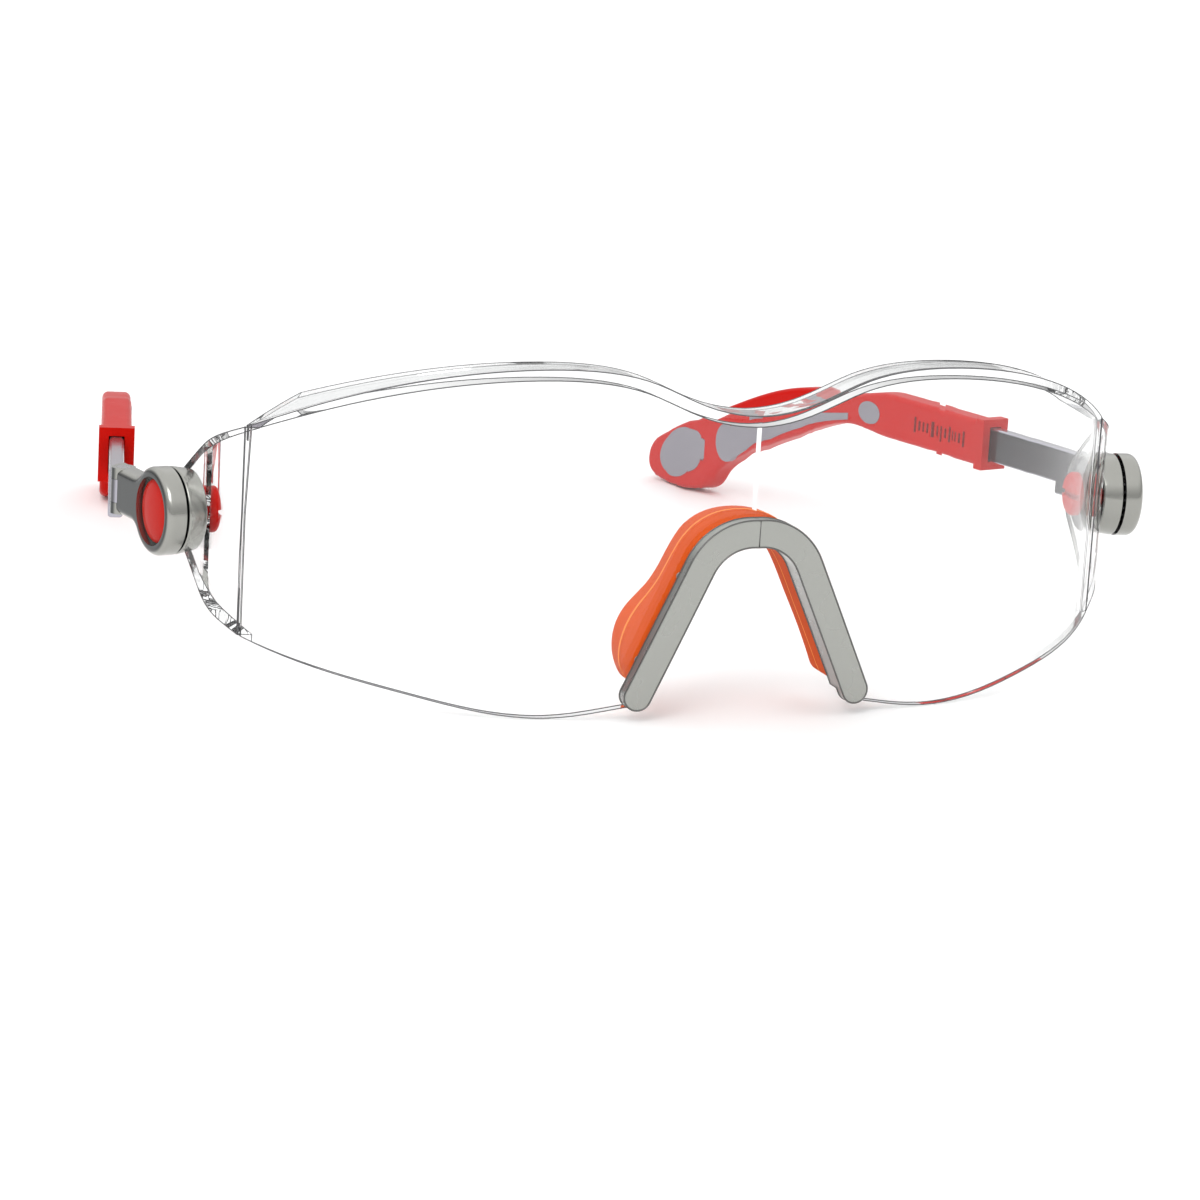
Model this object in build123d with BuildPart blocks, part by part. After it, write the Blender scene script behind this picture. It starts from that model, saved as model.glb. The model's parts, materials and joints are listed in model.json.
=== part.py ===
"""Sports protective goggles: one wrap-around lens, a nose bridge and two adjustable temples.

Frame: +X to the wearer's left, +Y to the back of the head, +Z up. The goggles stand on their lens
and temple tips at Z = 0, and the origin is the centre of the overall box, at its bottom.
Each temple tilts on its hub, folds on a vertical pin behind the hub, and carries a sleeve that
slides along its bar. The left side is drawn and then mirrored.
"""
import os
from math import cos, radians, sin

from build123d import *

# ---------------------------------------------------------------- driving dimensions, mm and degrees
# Lens, in plan: a shallow crest at the nose, then tangent arcs that wrap round to the side shields.
lens_thickness = 2.2
crest_heading = 6.0
flank_radius = 80.0
front_radius = 110.0
front_sweep = 11.0
cheek_radius = 62.0
cheek_sweep = 43.0
shield_heading = 49.0
shield_length = 3.3
shield_bend_radius = 8.0
hub_toe_in = 10.0
seat_front = 3.7
seat_rear = 6.6

# Lens, in front view: heights of its top and bottom edges.
valley_height = 43.4
brow_height = 49.7
brow_half_spacing = 30.5
shield_top = 37.4
shield_bottom = 7.4
ledge_depth = 4.2
ledge_height = 1.8
crease_width = 0.3
crease_depth = 0.3
crease_slant = 1.6

# Nose bridge trim and nose pad.
trim_thickness = 1.9
trim_width = 3.9
trim_lip = 1.1
trim_foot = 1.6
trim_foot_radius = 1.9
gap_top = 25.0
gap_top_half = 4.7
gap_corner_radius = 6.5
gap_foot_half = 16.2
pad_wall = 1.9
pad_depth = 7.4
pad_inset = 0.4
pad_lobe = 2.2
lobe_radius = 6.0
lobe_height = 9.5
pad_room = 0.3
saddle_clearance = 1.5
pad_foot = 3.8
peg_radius = 0.8
peg_heights = (8.0, 20.0)

# Hub stack on each side of the lens, along the hub axis.
hub_height = 23.6
hub_radius = 6.4
base_thickness = 3.1
groove = 0.4
housing_thickness = 2.9
shank_radius = 2.2
knob_radius = 3.4
knob_height = 1.7
knob_slot = 0.9
disc_radius = 4.95
disc_recess = 1.0
disc_thickness = 0.7
screw_radius = 1.0
screw_length = 3.6
screw_head_radius = 3.0
screw_head_thickness = 0.6
ring_radius = 4.9
ring_thickness = 0.8
ring_teeth = 24

# Fold hinge at the end of the housing's tail.
tail_length = 13.0
tail_height = 6.8
tail_rise = 0.5
knuckle_radius = 1.8
barrel_wall = 0.7
tongue_height = 3.4
pin_radius = 0.7
pin_head_radius = 1.1
pin_head_thickness = 0.5
neck_radius = 3.0
housing_round = 1.1

# Temple bar, sleeve and inlays. Distances run back from the fold pin, heights up from Z = 0.
temple_lean = 13.5
bar_shift = 1.0
bar_height = 5.6
bar_thickness = 2.2
bar_length = 45.0
bar_middle = 24.0
bar_round = 0.5
root_length = 8.5
root_drop = 1.9
sleeve_start = 26.5
sleeve_wall = 0.9
sleeve_cheek = 1.1
sleeve_level = 26.5
sleeve_drop = 70.6
sleeve_round = 1.0
collar_length = 2.0
collar_growth = 0.4
slide_travel = 6.0
detent_pitch = 3.0
inlay_depth = 0.8
inlay_proud = 0.1
tip_inlay_turn = -26
leaf_length = 11.0
leaf_width = 3.0
leaf_thickness = 0.3

# Clearances.
running = 0.05
fitted = 0.02
sliding = 0.1

# Sizes that follow from the bar inside the sleeve.
sleeve_height = bar_height + 2 * (sliding + sleeve_wall)
sleeve_thickness = bar_thickness + 2 * (sliding + sleeve_cheek)
sleeve_level_end = sleeve_start + sleeve_level
sleeve_reach = sleeve_level_end + sleeve_drop

os.makedirs("parts", exist_ok=True)

# ---------------------------------------------------------------- frame and lens surface in plan
bend_sweep = 90 - hub_toe_in - shield_heading
outward = Vector(1, 0).rotate(Axis.Z, -hub_toe_in)
rearward = Vector(0, 1).rotate(Axis.Z, -hub_toe_in)
backward = Vector(0, 1).rotate(Axis.Z, temple_lean)


def surface_path(gap, whole=True, front=0.0):
    """Edges of the left half of the lens surface in plan, a gap behind its front face."""
    along = Vector(1, 0).rotate(Axis.Z, crest_heading)
    start = Vector(0, front + trim_thickness) + along.rotate(Axis.Z, 90) * gap
    lead = Edge.make_line(start - along * 4, start)
    flank = JernArc(start, along, flank_radius + gap, -crest_heading, mode=Mode.PRIVATE)
    brow = JernArc(flank @ 1, flank % 1, front_radius - gap, front_sweep, mode=Mode.PRIVATE)
    cheek = JernArc(brow @ 1, brow % 1, cheek_radius - gap, cheek_sweep, mode=Mode.PRIVATE)
    if not whole:
        return [lead, flank, brow, cheek]
    # The fold is a slight angle, so behind the front face its two sides part by a thin strip.
    heading = Vector(1, 0).rotate(Axis.Z, shield_heading)
    fold = (cheek @ 1) - (cheek % 1).rotate(Axis.Z, 90) * gap + heading.rotate(Axis.Z, 90) * gap
    strip = [Edge.make_line(cheek @ 1, fold)] if gap else []
    shield = Edge.make_line(fold, fold + heading * shield_length)
    bend = JernArc(shield @ 1, heading, shield_bend_radius - gap, bend_sweep, mode=Mode.PRIVATE)
    seat = Edge.make_line(bend @ 1, (bend @ 1) + rearward * (seat_front + seat_rear))
    return [lead, flank, brow, cheek, *strip, shield, bend, seat]


# Overall depth, from the trim's front face to the end of the tip: the origin is half-way.
fold_corner = surface_path(0)[3] @ 1
seat_in_plan = (surface_path(0)[-1] @ 0) + rearward * seat_front
housing_bottom = base_thickness + groove
housing_top = housing_bottom + housing_thickness
housing_middle = housing_bottom + housing_thickness / 2
pin_in_plan = seat_in_plan + outward * housing_middle + rearward * tail_length
tip_in_plan = pin_in_plan + backward * sleeve_reach + Vector(bar_shift, 0).rotate(Axis.Z, temple_lean)
overall_depth = tip_in_plan.Y + sleeve_thickness / 2 * sin(radians(temple_lean))
front_y = -overall_depth / 2

hub_seat = seat_in_plan + Vector(0, front_y, hub_height)
pin_spot = pin_in_plan + Vector(0, front_y, 0)
hub_plane = Plane(origin=hub_seat, x_dir=rearward, z_dir=outward)
far_hub_plane = Plane(
    origin=(-hub_seat.X, hub_seat.Y, hub_seat.Z),
    x_dir=(-rearward.X, rearward.Y, 0),
    z_dir=(-outward.X, outward.Y, 0),
)
sideways = backward.cross(Vector(0, 0, 1))
bar_spot = pin_spot + sideways * bar_shift
temple_plane = Plane(origin=bar_spot, x_dir=backward, z_dir=sideways)
temple_plan = Plane(origin=bar_spot, x_dir=backward, z_dir=(0, 0, 1))
front_plane = Plane(origin=(0, front_y, 0), x_dir=(1, 0, 0), z_dir=(0, -1, 0))
side_plane = Plane(origin=(0, front_y, 0), x_dir=(0, 1, 0), z_dir=(1, 0, 0))
above_all = brow_height + 5
past_all = 120.0


def export(part, name):
    """Write one finished node."""
    part.label = name
    export_step(part, f"parts/{name}.step")


def export_pair(part, name):
    """Write the left node and its mirror image on the right."""
    twin = mirror(part, about=Plane.YZ)
    export(part, f"left_{name}")
    export(twin, f"right_{name}")


def surface_band(near, far, whole=True):
    """Both halves of a wall that follows the lens, between two gaps behind its front face."""
    with BuildPart() as band:
        with BuildSketch():
            with BuildLine():
                outer = surface_path(near, whole, front_y)
                inner = surface_path(far, whole, front_y)
                add(outer)
                add(inner)
                Line(outer[0] @ 0, inner[0] @ 0)
                Line(outer[-1] @ 1, inner[-1] @ 1)
            make_face()
        extrude(amount=above_all)
        split(bisect_by=Plane.YZ, keep=Keep.TOP)
        mirror(about=Plane.YZ)
    return band.part


def nose_gap(grow):
    """Face of the nose gap in front view, grown outwards all round."""
    slope = (gap_foot_half - gap_top_half) / gap_top
    below = 12.0
    foot = gap_foot_half + slope * below
    with BuildSketch(mode=Mode.PRIVATE) as gap:
        with BuildLine():
            Polyline(
                (-foot, -below), (foot, -below), (gap_top_half, gap_top), (-gap_top_half, gap_top),
                close=True,
            )
        make_face()
        fillet(gap.vertices().group_by(Axis.Y)[-1], gap_corner_radius)
        if grow:
            offset(amount=grow)
    return gap.sketch


def leg_x(height, grow):
    """Half-width of the nose gap at a height, grown outwards square to its leg."""
    slope = (gap_foot_half - gap_top_half) / gap_top
    return gap_foot_half - slope * height + grow * (1 + slope**2) ** 0.5


def brow_line(drop):
    """Left half of the lens's top edge, lowered by a drop."""
    return Spline(
        (0, valley_height - drop),
        (brow_half_spacing * 0.55, brow_height - 1.4 - drop),
        (brow_half_spacing, brow_height - drop),
        (48, brow_height - 2.8 - drop),
        (fold_corner.X, shield_top - drop),
        tangents=[(1, 0), (1, -0.7)],
    )


# ---------------------------------------------------------------- lens
peg_line = (trim_lip + trim_width) / 2
peg_spots = [(side * leg_x(height, peg_line), height) for height in peg_heights for side in (1, -1)]
peg_start = trim_thickness / 2
peg_end = trim_thickness + lens_thickness + pad_wall

with BuildSketch(front_plane) as lens_front:
    with BuildLine():
        top = brow_line(0)
        bottom = Spline(
            (brow_half_spacing, 0), (47.5, 2.4), (fold_corner.X, shield_bottom),
            tangents=[(1, 0), (1, 0.42)],
        )
        corner = Line((0, 2.2), (11, 2.2))
        Spline(corner @ 1, bottom @ 0, tangents=[(1, 0), (1, 0)])
        Line(corner @ 0, top @ 0)
        Polyline(
            top @ 1,
            (fold_corner.X, above_all),
            (past_all, above_all),
            (past_all, -5),
            (fold_corner.X, -5),
            bottom @ 1,
        )
    make_face()
    mirror(about=Plane.YZ)
    add(nose_gap(trim_lip + fitted), mode=Mode.SUBTRACT)

with BuildSketch(front_plane) as ledge_front:
    with BuildLine():
        ledge_top = brow_line(0)
        ledge_bottom = brow_line(ledge_height)
        Line(ledge_top @ 0, ledge_bottom @ 0)
        Line(ledge_top @ 1, ledge_bottom @ 1)
    make_face()
    mirror(about=Plane.YZ)

# Behind the fold the lens narrows to a round seat under the hub.
seat_y = seat_in_plan.Y
seat_round = hub_radius - 0.3
meet = Vector(0.6, 0.8) * seat_round
with BuildSketch(side_plane) as shield_side:
    with BuildLine():
        above = Spline(
            (fold_corner.Y, shield_top), (seat_y + meet.X, hub_height + meet.Y),
            tangents=[(1, -0.45), (0.8, -0.6)],
        )
        below = Spline(
            (fold_corner.Y, shield_bottom), (seat_y + meet.X, hub_height - meet.Y),
            tangents=[(1, 0.6), (0.8, 0.6)],
        )
        ThreePointArc(above @ 1, (seat_y + seat_round, hub_height), below @ 1)
        Polyline(
            above @ 0,
            (fold_corner.Y, above_all),
            (-10, above_all),
            (-10, -5),
            (fold_corner.Y, -5),
            below @ 0,
        )
    make_face()

with BuildPart() as ledge:
    add(surface_band(lens_thickness / 2, lens_thickness + ledge_depth, whole=False))
    extrude(ledge_front.sketch, amount=-past_all, mode=Mode.INTERSECT)

# Two fine lines are moulded into the front face at the fold: one upright, and one that leans across it.
crease_spots = ((fold_corner.X - crease_width, 0), (fold_corner.X - crease_width, crease_slant))
with BuildPart() as crease:
    add(surface_band(-running, crease_depth, whole=False))
    with BuildSketch(front_plane):
        for across, slant in crease_spots:
            with Locations(Location((across, brow_height / 2), slant)):
                Rectangle(crease_width, 2 * above_all)
        mirror(about=Plane.YZ)
    extrude(amount=-past_all, mode=Mode.INTERSECT)

with BuildPart() as lens:
    add(surface_band(0, lens_thickness))
    extrude(lens_front.sketch, amount=-past_all, mode=Mode.INTERSECT)
    add(ledge.part)
    extrude(shield_side.sketch, amount=past_all, both=True, mode=Mode.INTERSECT)
    with Locations(hub_plane, far_hub_plane):
        Cylinder(shank_radius + fitted, 4 * lens_thickness, mode=Mode.SUBTRACT)
    with BuildSketch(front_plane):
        with Locations(*peg_spots):
            Circle(peg_radius + fitted)
    extrude(amount=-2 * peg_end, mode=Mode.SUBTRACT)
    add(crease.part, mode=Mode.SUBTRACT)
export(lens.part, "lens")


# ---------------------------------------------------------------- nose bridge trim
def below_foot(height):
    """Cut a front-view sketch off below a height."""
    with Locations((0, height - 50)):
        Rectangle(200, 100, mode=Mode.SUBTRACT)


with BuildSketch(front_plane) as trim_front:
    add(nose_gap(trim_width))
    add(nose_gap(0), mode=Mode.SUBTRACT)
    below_foot(trim_foot)
    fillet(trim_front.vertices().group_by(Axis.Y)[0], trim_foot_radius)

with BuildSketch(front_plane) as web_front:
    add(nose_gap(trim_lip))
    add(nose_gap(0), mode=Mode.SUBTRACT)
    below_foot(trim_foot + trim_foot_radius)

with BuildPart() as trim_web:
    add(surface_band(-running, lens_thickness, whole=False))
    extrude(web_front.sketch, amount=-past_all, mode=Mode.INTERSECT)

with BuildPart() as trim:
    add(surface_band(-trim_thickness, 0, whole=False))
    extrude(trim_front.sketch, amount=-past_all, mode=Mode.INTERSECT)
    add(trim_web.part)
    with BuildSketch(front_plane.offset(-peg_start)):
        with Locations(*peg_spots):
            Circle(peg_radius)
    extrude(amount=peg_start - peg_end)
export(trim.part, "nose_bridge_trim")


# ---------------------------------------------------------------- nose pad
pad_hem = trim_width - pad_inset
lobe_middle = leg_x(lobe_height, pad_hem) + pad_lobe - lobe_radius

with BuildSketch(front_plane) as flange_front:
    add(nose_gap(pad_hem))
    add(nose_gap(pad_room), mode=Mode.SUBTRACT)
    below_foot(pad_foot)

with BuildPart() as flange:
    add(surface_band(lens_thickness + fitted, lens_thickness + pad_wall, whole=False))
    extrude(flange_front.sketch, amount=-past_all, mode=Mode.INTERSECT)

# Behind the flange the pad stands back as a saddle, with a lobe low down on each side of the nose.
# The saddle begins far enough back to clear the lens where the lens sweeps away beside the legs.
saddle_start = trim_thickness + lens_thickness + saddle_clearance
with BuildSketch(front_plane.offset(-saddle_start)) as saddle:
    add(nose_gap(pad_hem))
    with Locations(*[(side * lobe_middle, lobe_height) for side in (1, -1)]):
        Circle(lobe_radius)
    add(nose_gap(pad_room), mode=Mode.SUBTRACT)
    below_foot(pad_foot)

with BuildPart() as nose_pad:
    extrude(saddle.sketch, amount=-pad_depth)
    add(flange.part)
    with BuildSketch(front_plane):
        with Locations(*peg_spots):
            Circle(peg_radius + fitted)
    extrude(amount=-peg_end - running, mode=Mode.SUBTRACT)
export(nose_pad.part, "nose_pad")


# ---------------------------------------------------------------- hub, from inner knob to outer disc
low = (Align.CENTER, Align.CENTER, Align.MIN)
ring_seat = base_thickness - ring_thickness + 0.1
disc_floor = housing_top - disc_recess
screw_floor = disc_floor - screw_head_thickness - 2 * running
shank_end = screw_floor + running

with BuildPart(hub_plane) as hub_base:
    Cone(hub_radius - 0.5, hub_radius, base_thickness, align=low)
    with Locations((0, 0, base_thickness)):
        CounterBoreHole(shank_radius + running, ring_radius + running, base_thickness - ring_seat)
export_pair(hub_base.part, "hub_base")

with BuildPart(hub_plane) as detent_ring:
    with Locations((0, 0, ring_seat)):
        Cylinder(ring_radius, ring_thickness, align=low)
    with Locations((0, 0, ring_seat + ring_thickness)):
        with PolarLocations((ring_radius + shank_radius) / 2 + 0.5, ring_teeth):
            Box(1.4, 0.35, 0.2, align=low)
    Cylinder(shank_radius + running, 10, mode=Mode.SUBTRACT)
export_pair(detent_ring.part, "detent_ring")

with BuildPart(hub_plane) as pivot_knob:
    with Locations((0, 0, -lens_thickness - knob_height)):
        Cylinder(knob_radius, knob_height, align=low)
    knob_rim = pivot_knob.edges().filter_by(GeomType.CIRCLE).sort_by(Axis(hub_seat, outward))[0]
    fillet(knob_rim, knob_height * 0.6)
    with Locations((0, 0, -lens_thickness - knob_height)):
        Box(2 * knob_radius, knob_slot, knob_height, mode=Mode.SUBTRACT)
    with Locations((0, 0, -lens_thickness)):
        Cylinder(shank_radius, lens_thickness + shank_end, align=low)
    with Locations((0, 0, shank_end)):
        Hole(screw_radius + fitted, screw_length + 0.3)
export_pair(pivot_knob.part, "pivot_knob")

with BuildPart(hub_plane) as pivot_screw:
    with Locations((0, 0, shank_end)):
        Cylinder(screw_head_radius, screw_head_thickness, align=low)
        Cylinder(screw_radius, screw_length, align=(Align.CENTER, Align.CENTER, Align.MAX))
    with Locations((0, 0, shank_end + screw_head_thickness)):
        Box(3.2, 0.6, 0.6, mode=Mode.SUBTRACT)
        Box(0.6, 3.2, 0.6, mode=Mode.SUBTRACT)
export_pair(pivot_screw.part, "pivot_screw")

with BuildPart(hub_plane) as hub_disc:
    with Locations((0, 0, disc_floor)):
        Cylinder(disc_radius, disc_thickness, align=low)
    fillet(hub_disc.edges().sort_by(Axis(hub_seat, outward))[-1], 0.3)
export_pair(hub_disc.part, "hub_disc")

# ---------------------------------------------------------------- tilting housing with its hinge ears
slot_height = tongue_height + 2 * running
tongue_room = knuckle_radius + 2 * running
barrel_radius = tongue_room + barrel_wall
bar_turn = radians(hub_toe_in + temple_lean)
tongue_half = bar_thickness / 2
tongue_edge = (tongue_room**2 - tongue_half**2) ** 0.5
tongue_exit = tongue_half * cos(bar_turn) - tongue_edge * sin(bar_turn) + sliding
with BuildPart(hub_plane) as tilt_arm:
    with BuildSketch(hub_plane.offset(housing_bottom)) as arm_outline:
        with Locations((tail_length / 2, tail_rise)):
            Rectangle(tail_length, tail_height)
        Circle(hub_radius)
        inner_corners = arm_outline.vertices().filter_by_position(Axis.X, 1, hub_radius)
        fillet(inner_corners, neck_radius)
    extrude(amount=housing_thickness)
    rim = tilt_arm.faces().sort_by(Axis(hub_seat, outward))[-1].outer_wire().edges()
    fillet(rim, housing_round)
    # The barrel is closed on its outer side, so the tongue turns in it towards the head.
    with Locations((tail_length, tail_rise, housing_middle)):
        Cylinder(barrel_radius, tail_height, arc_size=180, rotation=(90, 0, 0))
        Cylinder(knuckle_radius, tail_height, rotation=(90, 0, 0))
        Cylinder(tongue_room, slot_height, rotation=(90, 0, 0), mode=Mode.SUBTRACT)
        Box(
            2 * tongue_room, slot_height, 2 * barrel_radius,
            align=(Align.CENTER, Align.CENTER, Align.MAX), mode=Mode.SUBTRACT,
        )
        with Locations((0, 0, tongue_exit)):
            Box(
                2 * barrel_radius, slot_height, 2 * barrel_radius,
                align=(Align.MIN, Align.CENTER, Align.MAX), mode=Mode.SUBTRACT,
            )
        Cylinder(pin_radius + fitted, 2 * tail_height, rotation=(90, 0, 0), mode=Mode.SUBTRACT)
    with Locations((tail_length, tail_rise + tail_height / 2, housing_middle)):
        pin_seat = pin_head_radius + fitted
        Cylinder(pin_seat, 2 * pin_head_thickness, rotation=(90, 0, 0), mode=Mode.SUBTRACT)
    with Locations((0, 0, housing_top)):
        Hole(shank_radius + running)
        Hole(screw_head_radius + 2 * running, housing_top - screw_floor)
        Hole(disc_radius + fitted, disc_recess)
export_pair(tilt_arm.part, "tilt_arm")

with BuildPart(hub_plane) as fold_pin:
    with Locations((tail_length, tail_rise, housing_middle)):
        Cylinder(pin_radius, tail_height, rotation=(90, 0, 0))
    pin_head_height = tail_rise + tail_height / 2 - pin_head_thickness / 2
    with Locations((tail_length, pin_head_height, housing_middle)):
        Cylinder(pin_head_radius, pin_head_thickness, rotation=(90, 0, 0))
export_pair(fold_pin.part, "fold_pin")

# ---------------------------------------------------------------- temple bar
hinge_height = hub_height + tail_rise
root_start = barrel_radius + 0.3
leaf_middle = sleeve_start + collar_length + leaf_length / 2 + 1
with BuildPart(temple_plane) as temple_bar:
    with BuildSketch(temple_plane):
        with Locations((root_start, bar_middle)):
            Rectangle(bar_length - root_start, bar_height, align=(Align.MIN, Align.CENTER))
        with Locations((root_start, bar_middle + bar_height / 2)):
            Rectangle(root_length - root_start, bar_height + root_drop, align=(Align.MIN, Align.MAX))
    extrude(amount=bar_thickness / 2, both=True)
    fillet(temple_bar.edges().filter_by(Axis(pin_spot, backward)), bar_round)
    with Locations((0, hinge_height, -bar_shift)):
        Box(
            root_start + bar_shift, tongue_height, bar_thickness,
            align=(Align.MIN, Align.CENTER, Align.CENTER),
        )
        Cylinder(knuckle_radius, tongue_height, rotation=(90, 0, 0))
        Cylinder(pin_radius + running, bar_height, rotation=(90, 0, 0), mode=Mode.SUBTRACT)
    notches = int(slide_travel / detent_pitch)
    for step in range(-notches, notches + 1):
        with Locations((leaf_middle + step * detent_pitch, bar_middle, -bar_thickness / 2)):
            Box(0.8, leaf_width + 0.6, 0.6, mode=Mode.SUBTRACT)
export_pair(temple_bar.part, "temple_bar")

# ---------------------------------------------------------------- temple sleeve with its ear tip
sleeve_top = bar_middle + sleeve_height / 2
sleeve_bottom = bar_middle - sleeve_height / 2
channel_end = bar_length + slide_travel + 0.5
channel_half = bar_thickness / 2 + sliding
pocket_depth = 0.6
leaf_room = 0.2


def drop(along, height):
    """A point beside the drooping end: shares of its length and of the sleeve's top height."""
    return (sleeve_level_end + along * sleeve_drop, height * sleeve_top)


with BuildSketch(temple_plane) as sleeve_side:
    with BuildLine():
        level_top = Line((sleeve_start, sleeve_top), (sleeve_level_end, sleeve_top))
        level_bottom = Line((sleeve_start, sleeve_bottom), (sleeve_level_end, sleeve_bottom))
        Line(level_top @ 0, level_bottom @ 0)
        drop_top = Spline(
            level_top @ 1, drop(0.13, 0.946), drop(0.33, 0.892), drop(0.57, 0.719), drop(0.79, 0.489),
            drop(0.94, 0.324), drop(1, 0.13),
            tangents=[(1, 0), (0, -1)],
        )
        drop_bottom = Spline(
            level_bottom @ 1, drop(0.156, 0.745), drop(0.326, 0.626), drop(0.552, 0.403),
            drop(0.729, 0.144), drop(0.885, 0),
            tangents=[(1, 0), (1, 0)],
        )
        Spline(drop_top @ 1, drop(0.972, 0.032), drop_bottom @ 1, tangents=[(0, -1), (-1, 0)])
    make_face()

# Soft inlays on the side that faces the head.
with BuildSketch(temple_plane) as front_inlay_side:
    with Locations(drop(0.076, 0.855)):
        Ellipse(2.9, 1.9)
with BuildSketch(temple_plane) as strip_inlay_side:
    with BuildLine():
        strip_top = Spline(
            drop(0.16, 0.815), drop(0.3, 0.75), drop(0.467, 0.64), drop(0.66, 0.5),
            tangents=[(1, -0.2), (1, -0.35)],
        )
        strip_bottom = Spline(
            drop(0.16, 0.773), drop(0.326, 0.665), drop(0.5, 0.49), drop(0.64, 0.3),
            tangents=[(1, -0.2), (1, -0.65)],
        )
        ThreePointArc(strip_top @ 1, drop(0.722, 0.345), strip_bottom @ 1)
        Line(strip_top @ 0, strip_bottom @ 0)
    make_face()
with BuildSketch(temple_plane) as tip_inlay_side:
    with Locations(Location((*drop(0.85, 0.237), 0), tip_inlay_turn)):
        Ellipse(6.9, 4.3)
inlay_sides = {
    "front_inlay": front_inlay_side.sketch,
    "strip_inlay": strip_inlay_side.sketch,
    "tip_inlay": tip_inlay_side.sketch,
}
headward = temple_plane.z_dir * -1
pocket_floor = sleeve_thickness / 2 - inlay_depth

with BuildPart(temple_plane) as temple_sleeve:
    extrude(sleeve_side.sketch, amount=sleeve_thickness / 2, both=True)
    long_edges = temple_sleeve.edges().filter_by(lambda edge: edge.length > sleeve_height + 1)
    fillet(long_edges, sleeve_round)
    with Locations((sleeve_start, bar_middle)):
        Box(
            collar_length, sleeve_height + 2 * collar_growth, sleeve_thickness + 2 * collar_growth,
            align=(Align.MIN, Align.CENTER, Align.CENTER),
        )
        Box(
            channel_end - sleeve_start, bar_height + 2 * sliding, 2 * channel_half,
            align=(Align.MIN, Align.CENTER, Align.CENTER), mode=Mode.SUBTRACT,
        )
    with Locations((leaf_middle, bar_middle, -channel_half)):
        Box(
            leaf_length + 2 * leaf_room, leaf_width + leaf_room, 2 * pocket_depth,
            mode=Mode.SUBTRACT,
        )
    for side in inlay_sides.values():
        floor = side.moved(Location(headward * pocket_floor))
        extrude(floor, amount=2 * inlay_depth, dir=headward, mode=Mode.SUBTRACT)
export_pair(temple_sleeve.part, "temple_sleeve")

for name, side in inlay_sides.items():
    with BuildPart() as inlay:
        floor = side.moved(Location(headward * (pocket_floor + fitted)))
        extrude(floor, amount=inlay_depth + inlay_proud - fitted, dir=headward)
    export_pair(inlay.part, name)

# ---------------------------------------------------------------- length detent: a bowed leaf beside the bar
leaf_gap = 0.08
leaf_bow = 0.25
leaf_face = bar_thickness / 2 + leaf_gap + leaf_thickness / 2
with BuildPart() as length_leaf:
    with BuildSketch(temple_plan.offset(bar_middle - leaf_width / 2)):
        with BuildLine():
            bow = ThreePointArc(
                (leaf_middle - leaf_length / 2, leaf_face + leaf_bow),
                (leaf_middle, leaf_face),
                (leaf_middle + leaf_length / 2, leaf_face + leaf_bow),
            )
            offset(bow, amount=leaf_thickness / 2)
        make_face()
    extrude(amount=leaf_width)
export_pair(length_leaf.part, "length_leaf")
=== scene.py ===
# %% [markdown]
# # Sports protective goggles
# The imported model is loaded first and stays where it is: every node already has its real size and
# place, in metres. This lesson gives each piece its finish, rebuilds the few pieces whose look depends
# on a soft or rounded form, and adds the marks that are too small for the CAD, and thin lines of
# painted reflection and painted shade along edges.

# %% Load the frame
import json
import math

import bmesh
import bpy
from mathutils import Matrix, Vector


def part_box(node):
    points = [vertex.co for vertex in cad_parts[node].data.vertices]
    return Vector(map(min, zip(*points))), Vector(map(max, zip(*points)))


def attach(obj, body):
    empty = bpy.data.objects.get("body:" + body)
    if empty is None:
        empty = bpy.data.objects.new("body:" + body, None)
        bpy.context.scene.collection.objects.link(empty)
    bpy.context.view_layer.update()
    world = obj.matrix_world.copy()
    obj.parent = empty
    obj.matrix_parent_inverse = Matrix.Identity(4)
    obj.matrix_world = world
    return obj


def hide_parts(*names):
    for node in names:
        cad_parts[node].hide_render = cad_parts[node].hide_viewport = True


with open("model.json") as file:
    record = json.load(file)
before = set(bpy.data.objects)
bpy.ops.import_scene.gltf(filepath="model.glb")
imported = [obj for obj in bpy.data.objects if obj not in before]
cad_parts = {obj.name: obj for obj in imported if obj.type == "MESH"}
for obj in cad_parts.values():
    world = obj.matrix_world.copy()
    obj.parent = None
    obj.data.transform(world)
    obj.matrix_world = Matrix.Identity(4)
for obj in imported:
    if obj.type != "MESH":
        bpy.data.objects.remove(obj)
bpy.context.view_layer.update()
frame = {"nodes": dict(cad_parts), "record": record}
MM = 0.001
UP = Vector((0, 0, 1))
nodes = frame["nodes"]
joints = {joint["name"]: joint for joint in frame["record"]["behaviour"]["joints"]}

# %% [markdown]
# ## Shader maths
# A shader is a graph of nodes. Writing `1 - mask * 0.3` is easier to read than two Math nodes, so a
# small class wraps a socket, and its operators add the nodes. Every other node comes from `node`. The
# materials and the sky share these methods, and a `Finish` is a material with one Principled shader.


# %% Sockets that can be used in expressions
class Value:
    """An output socket in a graph, with + - * and abs() as Math nodes."""

    def __init__(self, graph, socket):
        self.graph = graph
        self.socket = socket

    def __add__(self, other):
        return self.graph.maths("ADD", self, other)

    def __radd__(self, other):
        return self.graph.maths("ADD", other, self)

    def __sub__(self, other):
        return self.graph.maths("SUBTRACT", self, other)

    def __rsub__(self, other):
        return self.graph.maths("SUBTRACT", other, self)

    def __mul__(self, other):
        return self.graph.maths("MULTIPLY", self, other)

    def __rmul__(self, other):
        return self.graph.maths("MULTIPLY", other, self)

    def __abs__(self):
        return self.graph.maths("ABSOLUTE", self, 0.0)


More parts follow.
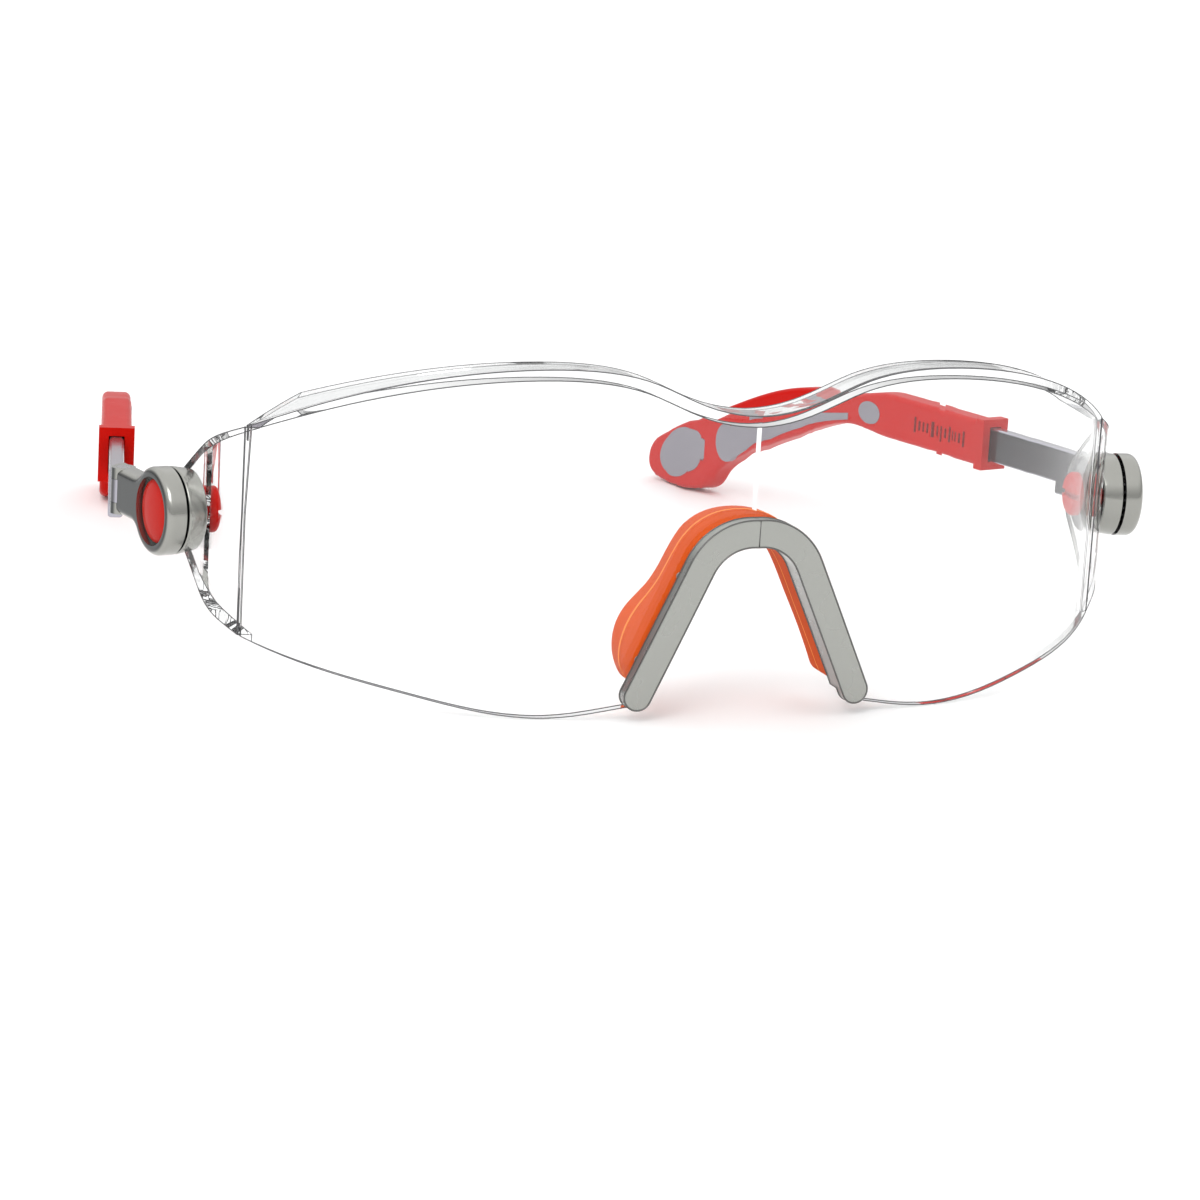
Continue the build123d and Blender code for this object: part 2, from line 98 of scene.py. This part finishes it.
class Graph:
    """A tree of shader nodes, with one method that adds any node to it."""

    def __init__(self, tree):
        self.tree = tree

    def node(self, kind, settings, inputs, output=0):
        """A node with its settings made first, then its sockets given values or links."""
        made = self.tree.nodes.new(kind)
        for setting, value in settings.items():
            if setting == "stops":
                self.set_stops(made.color_ramp, value)
            else:
                setattr(made, setting, value)
        for socket, value in inputs.items():
            if isinstance(value, Value):
                self.tree.links.new(value.socket, made.inputs[socket])
            else:
                made.inputs[socket].default_value = value
        return Value(self, made.outputs[output])

    def set_stops(self, ramp, stops):
        """Stops as (position, colour), the ramp's own two moved and the rest added."""
        for index, (position, colour) in enumerate(stops):
            stop = ramp.elements[index] if index < 2 else ramp.elements.new(position)
            stop.position = position
            stop.color = colour

    def maths(self, operation, first, second):
        """One Math node."""
        return self.node("ShaderNodeMath", {"operation": operation}, {0: first, 1: second})

    def along(self, axis, vector):
        """One coordinate of a vector."""
        return self.node("ShaderNodeSeparateXYZ", {}, {"Vector": vector}, axis)

    def blend(self, factor, first, second, how="MIX"):
        """Two colours mixed, or multiplied, by a factor."""
        settings = {"data_type": "RGBA", "blend_type": how}
        return self.node("ShaderNodeMix", settings, {"Factor": factor, 6: first, 7: second}, 2)


class Finish(Graph):
    """A new material with one Principled shader."""

    def __init__(self, name, **constants):
        self.material = bpy.data.materials.new(name)
        self.material.use_nodes = True
        super().__init__(self.material.node_tree)
        self.shader = self.tree.nodes["Principled BSDF"]
        self.output = self.tree.nodes["Material Output"]
        for socket, constant in constants.items():
            self.shader.inputs[socket.replace("_", " ")].default_value = constant
        self.place = self.node("ShaderNodeTexCoord", {}, {}, "Object")

    def noise(self, scale, detail=2.0):
        """A noise from 0 to 1, its grain about one metre over scale."""
        inputs = {"Vector": self.place, "Scale": scale, "Detail": detail}
        return self.node("ShaderNodeTexNoise", {}, inputs, "Fac")

    def bump(self, height, distance):
        """A normal from a height, with its depth in metres."""
        return self.node("ShaderNodeBump", {}, {"Height": height, "Distance": distance}, "Normal")

    def drive(self, **sockets):
        """Link values to the shader's own sockets."""
        for socket, value in sockets.items():
            self.tree.links.new(value.socket, self.shader.inputs[socket.replace("_", " ")])


def shades(colour, darkest=0.92, lightest=1.06):
    """A colour a little darker and a little lighter, for a skin that is never quite even."""
    return [tuple(min(1.0, c * share) for c in colour) + (1.0,) for share in (darkest, lightest)]


print("a red drifts between", *[[round(c, 3) for c in shade] for shade in shades((0.52, 0.005, 0.002))])

# %% [markdown]
# ## Moulded and painted finishes
# The hubs and the bridge are plastic under a satin metallic paint: fine flakes that sparkle, under a
# thin clear coat. On the real hubs the flat sides mirror dark surroundings. This scene has none, so the
# paint carries a painted reflection: a second, darker tone on the faces that look left or right. The
# temples are glossy red plastic, the inlays and the nose pad a soft elastomer, and the pins, screws,
# rings and leaves steel.


# %% Silver, plastic, rubber and steel
def silver_paint(name, painted_dark_reflection, rim, roughness):
    """Satin metal paint: a painted dark reflection on sides that look left or right, the rim colour
    elsewhere.
    """
    paint = Finish(name, Metallic=0.9, Coat_Weight=0.2, Coat_Roughness=0.1, IOR=1.5)
    normal = paint.node("ShaderNodeNewGeometry", {}, {}, "Normal")
    # Painted reflection: faces whose normal points mostly left or right take the darker first colour.
    turned = {"Value": abs(paint.along("X", normal)), "From Min": 0.72, "From Max": 0.96}
    facing = paint.node("ShaderNodeMapRange", {"interpolation_type": "SMOOTHSTEP"}, turned)
    tone = paint.blend(facing, (*rim, 1.0), (*painted_dark_reflection, 1.0))
    flakes = paint.noise(scale=6000.0, detail=1.0)
    sparkle = paint.blend(flakes, (0.5, 0.5, 0.5, 1.0), (1.0, 1.0, 1.0, 1.0))
    sparkle_share, unevenness, flake_depth = 0.12, 0.08, 0.004 * MM
    paint.drive(
        Base_Color=paint.blend(sparkle_share, tone, sparkle, "MULTIPLY"),
        Roughness=roughness + paint.noise(scale=160.0) * unevenness,
        Normal=paint.bump(flakes, flake_depth),
    )
    return paint.material


def glossy_plastic(name, colour, roughness, peel_depth):
    """Moulded plastic: a faint orange-peel skin, and a colour and a gloss that drift a little."""
    plastic = Finish(name, IOR=1.5, Specular_IOR_Level=0.06)
    dark, light = shades(colour)
    drift = plastic.noise(scale=60.0)
    peel = plastic.noise(scale=900.0, detail=1.0)
    unevenness = 0.08
    plastic.drive(
        Base_Color=plastic.blend(drift, dark, light),
        Roughness=roughness - unevenness / 2 + plastic.noise(scale=300.0) * unevenness,
        Normal=plastic.bump(peel, peel_depth),
    )
    return plastic.material


def soft_rubber(name, colour, seams=(), seam_highlight_colour=None):
    """A matt elastomer with a fine even grain, and a painted highlight, a paler line, at each seam's (place
    on Y, half width).
    """
    rubber = Finish(name, IOR=1.4, Specular_IOR_Level=0.1)
    dark, light = shades(colour)
    skin = rubber.blend(rubber.noise(scale=110.0), dark, light)
    # Each seam gets a paler colour, a painted highlight along its ridge.
    for seam, half_width in seams:
        away = abs(rubber.along("Y", rubber.place) - seam)
        skin = rubber.blend(rubber.maths("LESS_THAN", away, half_width), skin, (*seam_highlight_colour, 1.0))
    grain = rubber.noise(scale=4500.0, detail=3.0)
    smoothest, unevenness, grain_depth = 0.5, 0.16, 0.012 * MM
    rubber.drive(
        Base_Color=skin,
        Roughness=smoothest + grain * unevenness,
        Normal=rubber.bump(grain, grain_depth),
    )
    return rubber.material


def bright_steel(name):
    """Spring steel, finely and evenly brushed."""
    steel = Finish(name, Metallic=1.0)
    brushed = steel.noise(scale=2500.0, detail=4.0)
    smoothest, unevenness = 0.2, 0.15
    steel.drive(
        Base_Color=steel.blend(brushed, (0.32, 0.32, 0.33, 1.0), (0.5, 0.5, 0.51, 1.0)),
        Roughness=smoothest + brushed * unevenness,
    )
    return steel.material


# Each silver's first colour is a painted dark reflection on its sideways faces, and the second is its own
# paint.
TRIM_SILVER = silver_paint("trim_paint", (0.27, 0.27, 0.26), (0.38, 0.385, 0.36), 0.24)
# A dark silver for painted shade along the bridge trim's edges and in its middle crease.
EDGE_SHADE_SILVER = silver_paint("trim_edge_painted_shade", (0.06, 0.06, 0.06), (0.16, 0.16, 0.155), 0.3)
HUB_SILVER = silver_paint("hub_paint", (0.03, 0.034, 0.034), (0.34, 0.34, 0.315), 0.16)
BAR_SILVER = silver_paint("bar_paint", (0.075, 0.075, 0.08), (0.42, 0.41, 0.46), 0.18)
RED = glossy_plastic("red_plastic", (0.52, 0.005, 0.002), 0.3, 0.01 * MM)
DISC_RED = glossy_plastic("disc_red", (0.45, 0.006, 0.001), 0.14, 0.004 * MM)
MARK_RED = glossy_plastic("mark_red", (0.16, 0.006, 0.004), 0.4, 0.01 * MM)
front_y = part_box("nose_bridge_trim")[0].y
seam_behind_front, seam_half_width = 9.15, 0.15
pad_seams = ((front_y + seam_behind_front * MM, seam_half_width * MM),)
# The paler orange along the pad's parting line is a painted highlight.
ORANGE = soft_rubber("orange_elastomer", (0.62, 0.074, 0.001), pad_seams, (0.85, 0.26, 0.05))
GREY = soft_rubber("grey_elastomer", (0.27, 0.26, 0.29))
# A dark grey for the painted reflection along the lens edges.
EDGE_REFLECTION_GREY = soft_rubber("lens_edge_reflection", (0.13, 0.13, 0.135))
STEEL = bright_steel("spring_steel")
print("moulded and painted finishes", len(bpy.data.materials))

# %% [markdown]
# ## Clear lens
# Polished polycarbonate lets nearly all light through and bends it, so a Principled shader with full
# transmission suits it. A lens would throw a dark shadow that way, because shadow rays don't bend, so
# a Mix Shader lets those rays pass straight through. The sheet's cut edges look up or down, and a
# greyer colour on them is a painted reflection of dark surroundings.


# %% Clear polycarbonate
def clear_polycarbonate(name):
    """Clear polished sheet with a painted dark reflection on its cut edges, that lamps can shine through.
    """
    clear = Finish(name, Transmission_Weight=1.0, IOR=1.42, Roughness=0.0, Specular_IOR_Level=0.3)
    normal = clear.node("ShaderNodeNewGeometry", {}, {}, "True Normal")
    steepest_face = 0.25
    cut_edge = clear.maths("GREATER_THAN", abs(clear.along("Z", normal)), steepest_face)
    # Painted reflection: the cut edges take a greyer colour, for the dark surroundings they would show.
    cut_edge_reflection_tint = clear.blend(clear.noise(scale=90.0), (0.8, 0.81, 0.81, 1.0), (0.9, 0.91, 0.91, 1.0))
    clear.drive(Base_Color=clear.blend(cut_edge, (0.985, 0.99, 0.99, 1.0), cut_edge_reflection_tint))
    shadow_ray = clear.node("ShaderNodeLightPath", {}, {}, "Is Shadow Ray")
    open_way = clear.node("ShaderNodeBsdfTransparent", {}, {"Color": (0.94, 0.95, 0.95, 1.0)})
    sheet = Value(clear, clear.shader.outputs["BSDF"])
    mixed = clear.node("ShaderNodeMixShader", {}, {0: shadow_ray, 1: sheet, 2: open_way})
    clear.tree.links.new(mixed.socket, clear.output.inputs["Surface"])
    return clear.material


CLEAR = clear_polycarbonate("clear_polycarbonate")
print("lens finish", CLEAR.name)

# %% [markdown]
# ## A finish for every node
# Left and right pieces share a finish, so the table names each kind once, and a node's kind is its name
# without its side. A node that is missing from the table would stop the script here.

# %% Finishes on the CAD nodes
finishes = {
    "lens": CLEAR,
    "nose_bridge_trim": TRIM_SILVER,
    "nose_pad": ORANGE,
    "hub_base": HUB_SILVER,
    "detent_ring": STEEL,
    "pivot_knob": RED,
    "pivot_screw": STEEL,
    "tilt_arm": HUB_SILVER,
    "hub_disc": DISC_RED,
    "fold_pin": STEEL,
    "temple_bar": BAR_SILVER,
    "temple_sleeve": RED,
    "front_inlay": GREY,
    "strip_inlay": GREY,
    "tip_inlay": GREY,
    "length_leaf": STEEL,
}
for name, node in nodes.items():
    kind = name.removeprefix("left_").removeprefix("right_")
    node.data.materials.clear()
    node.data.materials.append(finishes[kind])
print("kinds of piece", len(finishes), "on nodes", len(nodes))

# %% [markdown]
# ## Edges that catch the light
# The hub bases are moulded, so no edge on them is truly sharp: the mould leaves a small radius, and
# that radius draws the thin bright line round each base. Each one is rebuilt as a copy of its CAD solid
# with the sharp edges bevelled. A copy is made because the CAD mesh itself must not change, and a
# weighted normal keeps its large faces flat under smooth shading.

# %% Rounded hub bases
weld = 0.002 * MM


def in_scene(name, data):
    """An object for a mesh, a lamp or a camera, linked into the scene."""
    thing = bpy.data.objects.new(name, data)
    bpy.context.scene.collection.objects.link(thing)
    return thing


def new_piece(name, mesh, finish, slot, body, *stands_for):
    """An object from a bmesh, smooth-shaded, that rides on a body and may stand for CAD nodes."""
    data = bpy.data.meshes.new(name)
    mesh.to_mesh(data)
    mesh.free()
    data.shade_smooth()
    piece = in_scene(name, data)
    data.materials.append(finish)
    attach(piece, body)
    if stands_for:
        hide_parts(*stands_for)
    print(name, "faces", len(data.polygons))
    return piece


def welded_copy(name):
    """A bmesh of a CAD node, its loose triangles joined along their edges."""
    mesh = bmesh.new()
    mesh.from_mesh(nodes[name].data)
    bmesh.ops.remove_doubles(mesh, verts=mesh.verts, dist=weld)
    return mesh


def sharp_edges(mesh, degrees):
    """The edges where two faces meet at more than an angle."""
    limit = math.radians(degrees)
    return [e for e in mesh.edges if e.is_manifold and e.calc_face_angle() > limit]


def rounded(name, width, finish, slot, body):
    """A copy of a CAD node with every sharp edge rounded over a width in mm."""
    mesh = welded_copy(name)
    flattest_fold = math.radians(0.6)
    bmesh.ops.dissolve_limit(mesh, angle_limit=flattest_fold, verts=mesh.verts, edges=mesh.edges)
    bmesh.ops.bevel(
        mesh, geom=sharp_edges(mesh, 38), offset=width * MM, offset_type="OFFSET", affect="EDGES",
        segments=3, profile=0.5, material=-1, clamp_overlap=True,
    )
    piece = new_piece(f"{name}_moulded", mesh, finish, slot, body, name)
    flat_faces = piece.modifiers.new("flat faces stay flat", "WEIGHTED_NORMAL")
    flat_faces.keep_sharp = True


mould_radius = 0.35
for hand in ("left", "right"):
    rounded(f"{hand}_hub_base", mould_radius, HUB_SILVER, "silver_plastic", "front")

# %% [markdown]
# ## Outlines of the lens and the bridge trim
# A clear lens is seen by its edges, which bend and mirror dark surroundings, so a thin grey line along
# them is a painted reflection. A darker line along the bridge trim's edges is painted shade. Only the
# sharp edges of a welded copy are kept, and a curve with a small bevel depth turns them into thin rods.
# A dark line down the trim's middle is painted shade in the crease between its two halves.


# %% Edge lines
def edge_lines(name, width, finish):
    """A thin line of a width in mm along every sharp edge of a CAD node of the front."""
    outline = welded_copy(name)
    sharp = set(sharp_edges(outline, 35))
    soft = [e for e in outline.edges if e not in sharp]
    bmesh.ops.delete(outline, geom=outline.faces[:], context="FACES_ONLY")
    bmesh.ops.delete(outline, geom=[e for e in soft if e.is_valid], context="EDGES")
    bmesh.ops.delete(outline, geom=[v for v in outline.verts if not v.link_edges], context="VERTS")
    mesh = bpy.data.meshes.new(f"{name}_edges")
    outline.to_mesh(mesh)
    outline.free()
    lines = in_scene(f"{name}_edges", mesh)
    # Converting acts on everything that is selected, and a CAD node must not be among it.
    bpy.ops.object.select_all(action="DESELECT")
    bpy.context.view_layer.objects.active = lines
    lines.select_set(True)
    bpy.ops.object.convert(target="CURVE")
    lines.data.bevel_depth = width / 2 * MM
    lines.data.bevel_resolution = 0
    lines.data.use_fill_caps = True
    bpy.ops.object.convert(target="MESH")
    lines.data.materials.clear()
    lines.data.materials.append(finish)
    lines.data.shade_smooth()
    lines.select_set(False)
    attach(lines, "front")
    print(lines.name, "faces", len(lines.data.polygons))


lens_reflection_line, trim_shade_line = 0.17, 0.26
# Grey rods on the lens edges are a painted reflection.
edge_lines("lens", lens_reflection_line, EDGE_REFLECTION_GREY)
# Darker rods on the bridge trim's edges are painted shade.
edge_lines("nose_bridge_trim", trim_shade_line, EDGE_SHADE_SILVER)

trim_low, trim_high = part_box("nose_bridge_trim")
# A thin dark block down the trim's middle is painted shade in the crease between its halves.
crease_shade_width, crease_shade_height, crease_shade_depth, crease_shade_proud = 0.16, 3.9, 0.4, 0.06
middle = Vector((0, trim_low.y + crease_shade_depth / 2 * MM, trim_high.z - crease_shade_height / 2 * MM))
size = Vector((crease_shade_width, crease_shade_depth + crease_shade_proud, crease_shade_height)) * MM
block = Matrix.Translation(middle) @ Matrix.Diagonal((*size, 1.0))
crease_shade = bmesh.new()
bmesh.ops.create_cube(crease_shade, size=1.0, matrix=block)
new_piece("trim_crease_shade", crease_shade, EDGE_SHADE_SILVER, "silver_plastic", "front")

# %% [markdown]
# ## Length scale
# The sleeve slides on its bar, so its inner side carries a row of short raised marks in a darker red.
# They are plain bars, with no numbers, and every fourth one is taller. A loop sets them out from the
# fold pin backwards along the way the sleeve slides, which the frame gives as the joint's axis.


# %% Scale marks
def facing(direction, wanted):
    """A direction of length one, turned round if it points away from a wanted one."""
    unit = direction.normalized()
    return -unit if unit.dot(wanted) < 0 else unit


bar_shift, sleeve_half, mark_proud = 1.0, 2.3, 0.06
first_mark, mark_pitch, mark_count, mark_width = 32.0, 1.15, 13, 0.45
short_mark, tall_mark, tall_every, marks_above_table = 1.6, 2.6, 4, 24.0
for hand in ("left", "right"):
    pin = Vector(joints[f"{hand}_fold"]["pos_m"])
    backwards = facing(Vector(joints[f"{hand}_length"]["axis"]), Vector((0, 1, 0)))
    outwards = facing(backwards.cross(UP), Vector((pin.x, 0, 0)))
    upright = Matrix((backwards, UP, outwards)).transposed().to_4x4()
    row = pin + outwards * (bar_shift - sleeve_half) * MM
    row.z = marks_above_table * MM
    marks = bmesh.new()
    for step in range(mark_count):
        tall = tall_mark if step % tall_every == 0 else short_mark
        spot = row + backwards * (first_mark + mark_pitch * step) * MM
        size = Vector((mark_width, tall, 2 * mark_proud)) * MM
        block = Matrix.Translation(spot) @ upright @ Matrix.Diagonal((*size, 1.0))
        bmesh.ops.create_cube(marks, size=1.0, matrix=block)
    new_piece(f"{hand}_scale_marks", marks, MARK_RED, "red_plastic", f"{hand}_sleeve")

# %% [markdown]
# ## Hub discs
# A red disc snaps into a shallow well in each hub and covers the screw. It is turned from one profile:
# a low dome with a soft shoulder, a little smaller than its well, so a dark ring shows round it.

# %% Discs
# The dome's profile from its middle to its rim: radius, and height from the hub's face, in mm.
dome = [(0.0, -0.3), (1.6, -0.33), (3.0, -0.42), (4.0, -0.56), (4.4, -0.68), (4.6, -0.84), (4.65, -1.0)]
disc_sunk, disc_half_thickness, disc_steps = 0.3, 0.35, 64
for hand in ("left", "right"):
    low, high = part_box(f"{hand}_hub_disc")
    middle = (low + high) / 2
    outwards = facing(Vector(joints[f"{hand}_tilt"]["axis"]), Vector((middle.x, 0, 0)))
    hub_face = middle + outwards * (disc_half_thickness + disc_sunk) * MM
    disc = bmesh.new()
    points = [disc.verts.new((radius * MM, 0.0, height * MM)) for radius, height in dome]
    edges = [disc.edges.new(pair) for pair in zip(points, points[1:])]
    bmesh.ops.spin(
        disc, geom=edges, axis=(0, 0, 1), cent=(0, 0, 0), angle=math.tau, steps=disc_steps,
        use_merge=True,
    )
    bmesh.ops.remove_doubles(disc, verts=disc.verts, dist=weld)
    open_rim = [edge for edge in disc.edges if edge.is_boundary]
    bmesh.ops.contextual_create(disc, geom=open_rim)
    bmesh.ops.recalc_face_normals(disc, faces=disc.faces)
    upright = outwards.to_track_quat("Z", "Y").to_matrix().to_4x4()
    bmesh.ops.transform(disc, matrix=Matrix.Translation(hub_face) @ upright, verts=disc.verts)
    new_piece(f"{hand}_disc_dome", disc, DISC_RED, "red_plastic", f"{hand}_arm", f"{hand}_hub_disc")

# %% [markdown]
# ## Nose pad
# The pad is moulded in one piece from a soft elastomer: a rounded saddle that follows the bridge and
# swells into a lobe low down on each side of the nose, with a fine parting line half-way back. One
# cross-section is carried round the arch, and a subdivision surface gives it its soft skin.

# %% Pad
# Each station has its inner and its outer point in front view, in mm, from the crown to a foot.
pad_stations = [
    ((0.0, 25.3), (0.0, 29.0)),
    ((3.1, 24.8), (3.9, 28.6)),
    ((5.3, 23.3), (7.3, 26.7)),
    ((6.7, 21.3), (9.4, 23.2)),
    ((8.3, 18.0), (11.2, 19.2)),
    ((9.4, 15.5), (12.9, 17.0)),
    ((10.6, 13.0), (15.4, 14.9)),
    ((11.8, 10.4), (17.0, 12.2)),
    ((12.9, 8.0), (17.4, 9.1)),
    ((13.8, 6.0), (16.8, 6.4)),
    ((14.5, 4.5), (15.8, 4.7)),
]
foot, foot_shrink = ((14.75, 4.0), (15.6, 4.05)), 0.6
# Each profile point is a share of the way outwards, and a depth behind the trim's face in mm.
pad_profile = [
    (0.12, 4.9), (0.5, 4.9), (0.88, 4.9), (1.0, 5.4), (1.0, 6.6), (1.0, 8.2), (1.0, 8.85),
    (1.07, 9.05), (1.07, 9.25), (1.0, 9.45), (1.0, 10.6), (0.98, 12.0), (0.86, 12.9), (0.5, 13.1),
    (0.14, 12.9), (0.0, 12.1), (0.0, 9.0), (0.0, 6.0), (0.0, 5.3),
]
# In front the pad is a hem of even width, and over this depth it widens into its lobes.
hem = 3.3
lobe_from, lobe_to = 6.0, 11.5
mid_depth = 9.0


def pad_ring(mesh, inner, outer, side, shrink):
    """One cross-section of the pad as a closed loop of edges."""
    inner, outer = Vector(inner), Vector(outer)
    outwards = outer - inner
    full = outwards.length
    loop = []
    for share, depth in pad_profile:
        ease = min(1.0, max(0.0, (depth - lobe_from) / (lobe_to - lobe_from)))
        width = min(hem, full) * (1 - ease) + full * ease
        middle = 0.5 + (share - 0.5) * shrink
        spot = inner + outwards.normalized() * (middle * width)
        back = mid_depth + (depth - mid_depth) * (0.5 + 0.5 * shrink)
        loop.append(mesh.verts.new((side * spot.x * MM, front_y + back * MM, spot.y * MM)))
    return [mesh.edges.new((loop[k - 1], loop[k])) for k in range(len(loop))]


pad = bmesh.new()
half = [(station, 1.0) for station in pad_stations] + [(foot, foot_shrink)]
walk = [(-1, station, shrink) for station, shrink in reversed(half[1:])]
walk += [(1, station, shrink) for station, shrink in half]
rings = [pad_ring(pad, *station, side, shrink) for side, station, shrink in walk]
for first, second in zip(rings, rings[1:]):
    bmesh.ops.bridge_loops(pad, edges=first + second)
for end in (rings[0], rings[-1]):
    bmesh.ops.contextual_create(pad, geom=end)
bmesh.ops.recalc_face_normals(pad, faces=pad.faces)
pad_piece = new_piece("nose_pad_soft", pad, ORANGE, "orange_pad", "front", "nose_pad")
skin = pad_piece.modifiers.new("soft skin", "SUBSURF")
skin.levels = 2
skin.render_levels = 2

# %% [markdown]
# ## Table
# The goggles stand on a white table that has no visible end, so one large flat sheet is enough. It lies
# a hair below the goggles, so that the fine lines along the lower edge of the lens don't sink into it.
# It is staging, not a piece.

# %% Floor
floor_half_width = 12.0
sheet = bmesh.new()
bmesh.ops.create_grid(sheet, x_segments=1, y_segments=1, size=floor_half_width)
floor_mesh = bpy.data.meshes.new("floor")
sheet.to_mesh(floor_mesh)
sheet.free()
floor = in_scene("floor", floor_mesh)
floor.location.z = -0.2 * MM
paper = Finish("white_paper", Roughness=0.6, Base_Color=(0.93, 0.93, 0.93, 1.0))
floor.data.materials.append(paper.material)
print("floor faces", len(floor_mesh.polygons), "height in mm", round(floor.location.z / MM, 2))

# %% [markdown]
# ## Light
# Glossy and clear pieces show their surroundings more than their own colour. The sky stands in for a
# bright room: a ramp on the height of each direction makes it darker low down, which gives the silver
# and the lens something to mirror. A Light Path node shows the camera plain white behind the goggles
# instead. One square soft box at the front left adds a highlight.

# %% World and key light
world = bpy.data.worlds.new("studio")
bpy.context.scene.world = world
world.use_nodes = True
sky = Graph(world.node_tree)
sky_greys = ((0.0, 0.4), (0.15, 0.42), (0.36, 0.6), (0.6, 0.85), (1.0, 0.85))
stops = [(height, (grey, grey, grey, 1.0)) for height, grey in sky_greys]
direction = sky.node("ShaderNodeTexCoord", {}, {}, "Generated")
room = sky.node("ShaderNodeValToRGB", {"stops": stops}, {"Fac": sky.along("Z", direction)}, "Color")
camera_ray = sky.node("ShaderNodeLightPath", {}, {}, "Is Camera Ray")
seen = sky.blend(camera_ray, room, (1.0, 1.0, 1.0, 1.0))
background = world.node_tree.nodes["Background"]
world.node_tree.links.new(seen.socket, background.inputs["Color"])
background.inputs["Strength"].default_value = 1.5


def area_light(name, place, aim, size, power):
    """A square soft box that faces a point, its size in metres and its power in watts."""
    lamp = bpy.data.lights.new(name, "AREA")
    lamp.size = size
    lamp.energy = power
    box = in_scene(name, lamp)
    box.location = place
    box.rotation_euler = (Vector(aim) - Vector(place)).to_track_quat("-Z", "Y").to_euler()
    return box


key = area_light("key", (-0.5, -0.6, 0.7), (0, 0, 0.02), size=0.5, power=3.0)
print("key light at", [round(c, 2) for c in key.location], "watts", key.data.energy)

# %% [markdown]
# ## Camera
# A long lens from front left, a little above, keeps the goggles' proportions calm. The camera is set
# by the point it looks at, three angles and a distance, which are easier to judge than a position.

# %% Camera
camera_data = bpy.data.cameras.new("camera")
camera_data.lens = 120.83
camera_data.sensor_width = 36.0
camera_data.clip_start = 0.01
camera = in_scene("camera", camera_data)
aim = Vector((-8.4, -46.1, 8.34)) * MM
distance = 604.88
azimuth, elevation, roll = [math.radians(angle) for angle in (-20.87, 12.806, 3.333)]
back = Vector((
    math.sin(azimuth) * math.cos(elevation),
    -math.cos(azimuth) * math.cos(elevation),
    math.sin(elevation),
))
turn = (-back).to_track_quat("-Z", "Y").to_matrix().to_4x4() @ Matrix.Rotation(roll, 4, "Z")
camera.matrix_world = Matrix.Translation(aim + back * distance * MM) @ turn
bpy.context.scene.camera = camera
bpy.context.scene.view_settings.view_transform = "Standard"

# Light that enters the edge of the lens bounces along inside the sheet many times before it leaves.
bpy.context.scene.cycles.max_bounces = 32
bpy.context.scene.cycles.transmission_bounces = 32
bpy.context.scene.cycles.glossy_bounces = 12
print("camera at, in mm", [round(c / MM, 1) for c in camera.matrix_world.translation])
